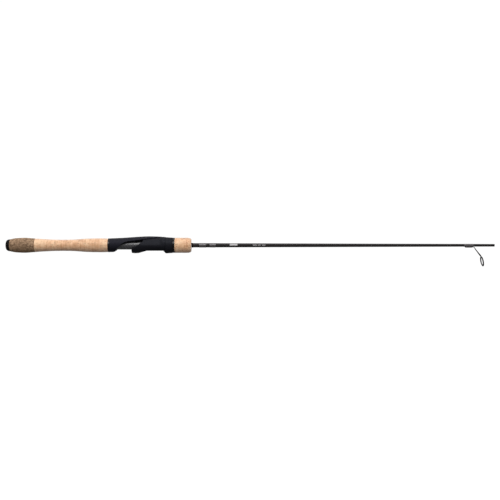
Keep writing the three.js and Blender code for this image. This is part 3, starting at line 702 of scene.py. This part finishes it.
def edge_station(edge, around):
    """Station at each angle where the seat's surface crosses an edge drawn on its side."""
    angles = FULL_TURN * np.arange(around) / around
    low = np.full(around, float(edge[0][0]))
    high = np.full(around, float(edge[-1][0]))
    for _ in range(40):
        middle = (low + high) / 2
        above = seat_radius(middle, angles) * np.cos(angles) > along(edge, middle)
        low, high = np.where(above, middle, low), np.where(above, high, middle)
    return (low + high) / 2


def slanted_station(edge, angles, radius):
    """Station of a straight-sided edge at the height of a surface."""
    stations, heights = np.array(edge, float).T
    return np.interp(radius * np.cos(angles), heights, stations)


def barrel_surface(s, a):
    """The platform under the palm shell, flattened below as the bed for the reel's foot."""
    upper_half = np.minimum(1, 2 * np.maximum(0, np.cos(a)))
    inset = TONGUE_THICKNESS * upper_half * (1 - smooth_step(s, *TONGUE_FADE))
    round_part = seat_radius(s, a) - inset
    down = np.maximum(np.cos(from_below(a)), 0.05)
    flat = soft_min(round_part, BED / down, 0.4)
    return round_part + (flat - round_part) * smooth_step(s, 202.5, 203.5)


def make_palm_shell():
    around = 288
    front = edge_station(SHELL_EDGE, around)
    angles = FULL_TURN * np.arange(around) / around
    slope = np.gradient(np.concatenate([front[-1:], front, front[:1]]), angles[1])[1:-1]
    slant = np.sqrt(1 + (slope / 11) ** 2)
    barrel_rear = slanted_station(BARREL_EDGE, angles, seat_radius(206.0, angles))

    def inner(s, a):
        thin = seat_radius(s, a) - LIP_THICKNESS
        over_barrel = barrel_surface(s, a) + GLUE_GAP
        from_edge = (front - s) / slant
        deep = thin + (SEAT_BORE - thin) * smooth_step(from_edge, 1.6, 2.8)
        return deep + (over_barrel - deep) * smooth_step(s, barrel_rear - 0.6, barrel_rear + 0.1)

    rear = span("rear_trim_ring")[1]
    piece = sleeve("palm_shell", seat_radius, inner, rear, front, around=around, steps=150, edge=0.5)
    fit(piece, "seat_palm_shell", SOFT_TOUCH, crease=50)


def pocket_radius(a):
    """Radius of the pocket's floor, and 0 outside the pocket. The floor is round across."""
    b = from_below(a)
    sag = (POCKET["depth"] - POCKET["side"]) * np.sin(b) ** 2 / POCKET["half_width"] ** 2
    sag = np.maximum(sag, 1e-9)
    floor = (-np.cos(b) + np.sqrt(np.cos(b) ** 2 + 4 * sag * POCKET["depth"])) / (2 * sag)
    reach = np.minimum(floor, POCKET["half_width"] / np.maximum(np.sin(b), 1e-6))
    return np.where(reach * np.cos(b) > BED, reach, 0)


def thread_surface(s, a):
    """A right-hand thread with flat crests, cut away by the keyway on top."""
    phase = np.mod((s - PLATFORM_END) / THREAD_PITCH + a / FULL_TURN, 1)
    groove = np.clip(1.8 - 6 * np.abs(phase - 0.5), 0, 1)
    radius = THREAD_RADIUS - THREAD_DEPTH * groove * smooth_step(s, 250.5, 252)
    across = np.abs(radius * np.sin(a))
    wall = KEYWAY["half_width"]
    in_key = (np.cos(a) > 0) * (1 - smooth_step(across, wall - 0.1, wall + 0.1))
    in_key = in_key * (1 - smooth_step(s, KEYWAY["end"] - 0.3, KEYWAY["end"]))
    return radius + (np.minimum(radius, KEYWAY["level"] / np.maximum(np.cos(a), 0.2)) - radius) * in_key


def make_barrel():
    around = 240
    angles = FULL_TURN * np.arange(around) / around
    rear = slanted_station(BARREL_EDGE, angles, seat_radius(206.0, angles))
    platform = sleeve("seat_barrel_body", barrel_surface, level(SEAT_BORE), rear, PLATFORM_END,
                      around=around, steps=70, edge=0.35)
    thread = sleeve("seat_thread", thread_surface, level(SEAT_BORE + 0.02), PLATFORM_END - 3,
                    span("seat_core_tube")[1], around=160, steps=300, edge=0.15)

    def hood_outside(s, a):
        radius = oval(a, along(SEAT_WIDTH, s) - 0.1, THREAD_RADIUS, along(REAR_HOOD["bottom"], s))
        return np.where(np.cos(a) > 0, np.minimum(radius, barrel_surface(s, a) - 0.15), radius)

    def hood_inside(s, a):
        opened = smooth_step(s, REAR_HOOD["pocket"], REAR_HOOD["pocket"] + 0.4)
        floor = pocket_radius(a)
        closed = SEAT_BORE + 0.3
        return np.where(floor > 0, closed + (floor - SEAT_BORE - 0.3) * opened, closed) + 0 * s

    mouth = slanted_station(REAR_MOUTH, angles, hood_outside(210.0, angles))
    hood_rear = np.minimum(slanted_station(BARREL_EDGE, angles, hood_outside(206.0, angles)), mouth - 2)
    hood = sleeve("rear_hood", hood_outside, hood_inside, hood_rear, mouth, around=around, steps=60,
                  edge=0.35)
    piece = join(join(platform, hood), thread)
    fit(piece, "seat_barrel", NYLON, crease=34)


def make_core_tube():
    start, end = span("seat_core_tube")
    radius = outline("seat_core_tube")[0][1]
    piece = tube("graphite_core_tube", radius, bore("seat_core_tube"), start, end, steps=30, edge=0.2)
    fit(piece, "seat_core_tube", GRAPHITE)


def trim_ring(name, node):
    start, end = span(node)
    radius = max(r for _, r in outline(node))
    piece = tube(name, radius, bore(node), start, end, around=128, steps=6, edge=0.45)
    fit(piece, node, GLOSS)


# ---- Moving hood, nut and foregrip ----

HOOD = {"lip": 246.5, "start": 250.2, "width": 12, "top": (12.9, 12), "bottom": (13, 12.1), "bore": 8.4,
        "counterbore": 257.9, "counterbore_radius": 9.9, "pocket_end": 256.5, "lip_level": 8.8}
FRONT_MOUTH = [(250.8, -13.3), (247.1, -8.8)]


def make_moving_hood():
    around = 240
    angles = FULL_TURN * np.arange(around) / around
    end = span("moving_hood")[1]

    def outer(s, a):
        share = (s - HOOD["lip"]) / (end - HOOD["lip"])
        top = HOOD["top"][0] + (HOOD["top"][1] - HOOD["top"][0]) * share
        bottom = HOOD["bottom"][0] + (HOOD["bottom"][1] - HOOD["bottom"][0]) * share
        return oval(a, HOOD["width"], top, bottom)

    def inner(s, a):
        floor = pocket_radius(a)
        round_bore = np.where(s > HOOD["counterbore"], HOOD["counterbore_radius"], HOOD["bore"])
        in_pocket = (floor > 0) & (s < HOOD["pocket_end"])
        under_bed = HOOD["lip_level"] / np.maximum(np.cos(from_below(a)), 0.4)
        opened = np.where(in_pocket, np.maximum(floor, round_bore), round_bore)
        lip = np.minimum(np.maximum(floor, under_bed), outer(s, a) - 0.04)
        return np.where(s < HOOD["start"], lip, opened)

    surface = outer(HOOD["start"], angles)
    lip_edge = slanted_station(FRONT_MOUTH, angles, surface)
    rear = np.where(surface * np.cos(angles) < -HOOD["lip_level"], lip_edge, HOOD["start"])
    piece = sleeve("front_hood", outer, inner, rear, end, around=around, steps=64, edge=0.35)
    fit(piece, "moving_hood", NYLON, crease=34)


def make_foregrip():
    start, end = span("foregrip_cork_ring_1", "foregrip_cork_ring_2")
    radius = max(r for _, r in outline("foregrip_cork_ring_1"))
    rounding, drop = 6.0, 3.0

    def shape(s):
        share = np.clip((s - (end - rounding)) / rounding, 0, 1)
        return radius - drop * (1 - np.sqrt(np.clip(1 - share * share, 0, 1)))

    for i, tone in enumerate((0.03, -0.05)):
        cork_ring(f"foregrip_cork_{i + 1}", f"foregrip_cork_ring_{i + 1}", shape, CORK, 61 + i, 34, tone)


# ---- Hook keeper and line guide ----

FAR_SIDE, BELOW = math.pi / 2, math.pi
KEEPER_BULGE = 1.3
GUIDE_BULGE = 1.35


def thread_wrap(name, node, turn, bulge, foot_from, foot_to):
    """A wrap with rounded ramps, swollen over the foot that it holds. turn is the foot's direction."""
    start, end = span(node)
    low = bore(node)
    plain = max(low + 0.2, float(np.median([r for _, r in outline(node)])) - bulge)

    def outer(s, a):
        ramp = smooth_step(s, start, start + 2.2) * (1 - smooth_step(s, end - 2.2, end))
        over_foot = np.maximum(0, np.cos(a - turn)) ** 6 * smooth_step(s, foot_from, foot_from + 2.5)
        over_foot = over_foot * (1 - smooth_step(s, foot_to - 2.5, foot_to))
        return low + 0.16 + (plain - low - 0.16) * ramp + bulge * over_foot * ramp

    piece = sleeve(name, outer, level(low), start, end, around=64, steps=40, edge=0.07)
    fit(piece, node, THREAD)


def foot_height(station, thickness):
    return -(blank_radius(station) + GLUE_GAP + thickness / 2)


def make_hook_keeper():
    """A small arch of wire beside the blank, its feet under the two wraps."""
    (rear, rear_end), (front, front_end) = span("keeper_wrap_rear"), span("keeper_wrap_front")
    wire, height = 1.0, 3.4
    foot = foot_height(rear, wire)
    middle = (rear_end + front) / 2
    path = curve_through([
        (rear + 2, foot), (rear_end - 3, foot), (rear_end - 0.2, foot),
        (middle - 1.7, foot - height + 0.9), (middle, foot - height), (middle + 1.7, foot - height + 0.9),
        (front + 0.2, foot), (front + 3, foot), (front_end - 2, foot),
    ], 90)
    piece = swept_bar("keeper_wire", path, np.full(90, wire), np.full(90, wire), squareness=2.0)
    for v in piece.data.vertices:
        v.co.y, v.co.z = -v.co.z, v.co.y
    fit(piece, "hook_keeper", BLACK_STEEL)


GUIDE = {
    "lean": math.radians(10.8), "centre": (746.6, -25.2), "radius": 8.0, "bore": 7.05, "width": 1.2,
    "foot_start": 720.0, "strap": 0.8, "leg": [(734.5, -3.8), (737, -7.2), (741.8, -13.4)],
    "ring_width": 2.0, "ring_bore": 5.9, "ring_radius": 6.95,
}


def guide_turned(name, profile, around=144):
    """A ring of the guide, turned from a closed profile of (distance forward on its axis, radius)."""
    angles = FULL_TURN * np.arange(around) / around
    lean, (station, height) = GUIDE["lean"], GUIDE["centre"]
    rings = np.zeros((len(profile), around, 3))
    for i, (ahead, radius) in enumerate(profile):
        up = radius * np.cos(angles)
        rings[i, :, 0] = station + BUTT + ahead * math.cos(lean) - up * math.sin(lean)
        rings[i, :, 1] = radius * np.sin(angles)
        rings[i, :, 2] = height + ahead * math.sin(lean) + up * math.cos(lean)
    return closed_mesh(name, rings)


def rounded_profile(width, inner, outer, squareness, count=28):
    """A rounded oblong section of a ring, as (distance forward, radius) points."""
    turns = FULL_TURN * np.arange(count) / count
    power = 2 / squareness
    ahead = np.sign(np.cos(turns)) * np.abs(np.cos(turns)) ** power * width / 2
    out = np.sign(np.sin(turns)) * np.abs(np.sin(turns)) ** power * (outer - inner) / 2
    return list(zip(ahead, (outer + inner) / 2 + out))


def make_guide():
    """A bent strap that carries a band, with a polished ring pressed into the band."""
    foot = foot_height(GUIDE["foot_start"], GUIDE["strap"])
    reach = GUIDE["radius"] - GUIDE["strap"] / 2
    wrap_end = span("guide_wrap")[1]
    ring_top = (GUIDE["centre"][0] - reach * math.sin(GUIDE["lean"]),
                GUIDE["centre"][1] + reach * math.cos(GUIDE["lean"]))
    steps = 80
    path = curve_through([
        (GUIDE["foot_start"], foot), (wrap_end - 4, foot), (wrap_end - 0.3, foot - 0.1),
        *GUIDE["leg"], ring_top,
    ], steps)
    # Along the strap, from 0 to 1: the foot's thin tip, the stouter leg, the flare and its narrow end
    share = np.linspace(0, 1, steps)
    tip, leg = smooth_step(share, 0, 0.15), smooth_step(share, 0.41, 0.55)
    flare, narrow = smooth_step(share, 0.6, 1), smooth_step(share, 0.9, 1)
    widths = 1.2 + 0.8 * tip + 3.2 * flare
    thicknesses = GUIDE["strap"] * (0.5 + 0.5 * tip) + 0.5 * leg + 0.5 * flare - 0.8 * narrow
    strap = swept_bar("guide_wire_frame", path, widths, thicknesses, squareness=3.2)
    band = guide_turned("guide_band", rounded_profile(GUIDE["width"], GUIDE["bore"], GUIDE["radius"], 4.0))
    fit(join(strap, band), "guide_frame", BLACK_STEEL, crease=50)
    section = rounded_profile(GUIDE["ring_width"], GUIDE["ring_bore"], GUIDE["ring_radius"], 2.6)
    ring = guide_turned("ceramic_ring", section)
    fit(ring, "guide_ring", CERAMIC, crease=60)


def make_winding_check():
    start, end = span("winding_check")
    radius = max(r for _, r in outline("winding_check"))
    piece = tube("winding_check_ring", radius, bore("winding_check"), start, end, around=64, steps=5,
                 edge=0.3)
    fit(piece, "winding_check", RUBBER)


def carry(node, material):
    """Gives its finish to a CAD node that is shown as it is."""
    mesh = frame["nodes"][node].data
    mesh.materials.clear()
    mesh.materials.append(material)


make_blank()
make_butt_cap()
make_rear_grip()
trim_ring("rear_gloss_ring", "rear_trim_ring")
make_core_tube()
make_palm_shell()
make_barrel()
make_moving_hood()
trim_ring("front_gloss_ring", "front_trim_ring")
make_foregrip()
make_winding_check()
make_hook_keeper()
thread_wrap("keeper_thread_rear", "keeper_wrap_rear", FAR_SIDE, KEEPER_BULGE, 303.4, 320)
thread_wrap("keeper_thread_front", "keeper_wrap_front", FAR_SIDE, KEEPER_BULGE, 310, 327.6)
thread_wrap("guide_thread", "guide_wrap", BELOW, GUIDE_BULGE, 718.4, 740)
make_guide()
for number in (1, 2, 3):
    carry(f"seat_arbor_{number}", FOAM)
carry("hood_clip", SPRING)
carry("locking_nut", NYLON)

# ---- Stage, light and camera ----

FRAME_WIDTH = 785  # width of the view at the rod
DISTANCE = 1300  # from the camera to the rod
TARGET = (148.3, 0, -7.4)  # the point looked at, in the model's frame
FLOOR_HALF = 6.0  # floor and softboxes are in metres
FLOOR_LEVEL = -0.45


def make_stage():
    mesh = bpy.data.meshes.new("studio_floor")
    corners = [(x * FLOOR_HALF, y * FLOOR_HALF, FLOOR_LEVEL) for x, y in ((-1, -1), (1, -1), (1, 1), (-1, 1))]
    mesh.from_pydata(corners, [], [(0, 1, 2, 3)])
    floor = bpy.data.objects.new("studio_floor", mesh)
    bpy.context.scene.collection.objects.link(floor)
    white, _, _ = new_finish("white_studio_floor", base_color=(1, 1, 1, 1), roughness=1.0,
                             emission_color=(1, 1, 1, 1), emission_strength=1.0)
    mesh.materials.append(white)
    floor.visible_diffuse = floor.visible_glossy = floor.visible_shadow = False


def make_light():
    world = bpy.data.worlds.new("studio")
    bpy.context.scene.world = world
    world.use_nodes = True
    tree = world.node_tree
    tree.nodes.clear()
    up = add(tree, "ShaderNodeSeparateXYZ", {"Vector": add(tree, "ShaderNodeTexCoord").outputs["Generated"]})
    level = add(tree, "ShaderNodeMapRange", {"Value": up.outputs["Z"], "From Min": -0.4, "From Max": 0.7,
                                             "To Min": 0.2, "To Max": 0.7})
    soft = add(tree, "ShaderNodeBackground", {"Color": (1, 1, 1, 1), "Strength": level.outputs[0]})
    backdrop = add(tree, "ShaderNodeBackground", {"Color": (1, 1, 1, 1), "Strength": 1.03})
    seen = add(tree, "ShaderNodeLightPath")
    mixed = add(tree, "ShaderNodeMixShader",
                {0: seen.outputs["Is Camera Ray"], 1: soft.outputs[0], 2: backdrop.outputs[0]})
    add(tree, "ShaderNodeOutputWorld", {"Surface": mixed.outputs[0]})
    for name, place, size, power in (
        ("overhead_softbox", (0.15, 0.1, 1.1), (1.6, 0.5), 3.5),
        ("front_softbox", (0.1, -1.1, 1.05), (1.4, 0.7), 17),
    ):
        lamp = bpy.data.lights.new(name, "AREA")
        lamp.shape, lamp.size, lamp.size_y, lamp.energy = "RECTANGLE", *size, power
        holder = bpy.data.objects.new(name, lamp)
        bpy.context.scene.collection.objects.link(holder)
        holder.location = place
        aim = Vector((TARGET[0] / METRE, 0, 0)) - Vector(place)
        holder.rotation_euler = aim.to_track_quat("-Z", "Y").to_euler()
    bpy.context.scene.view_settings.view_transform = "Standard"


def make_camera():
    lens = bpy.data.cameras.new("camera")
    lens.lens = 36 * DISTANCE / FRAME_WIDTH
    lens.clip_start = 0.05
    camera = bpy.data.objects.new("camera", lens)
    bpy.context.scene.collection.objects.link(camera)
    camera.location = Vector(TARGET) / METRE + Vector((0, -DISTANCE / METRE, 0))
    camera.rotation_euler = (math.radians(90), 0, 0)
    bpy.context.scene.camera = camera


make_stage()
make_light()
make_camera()
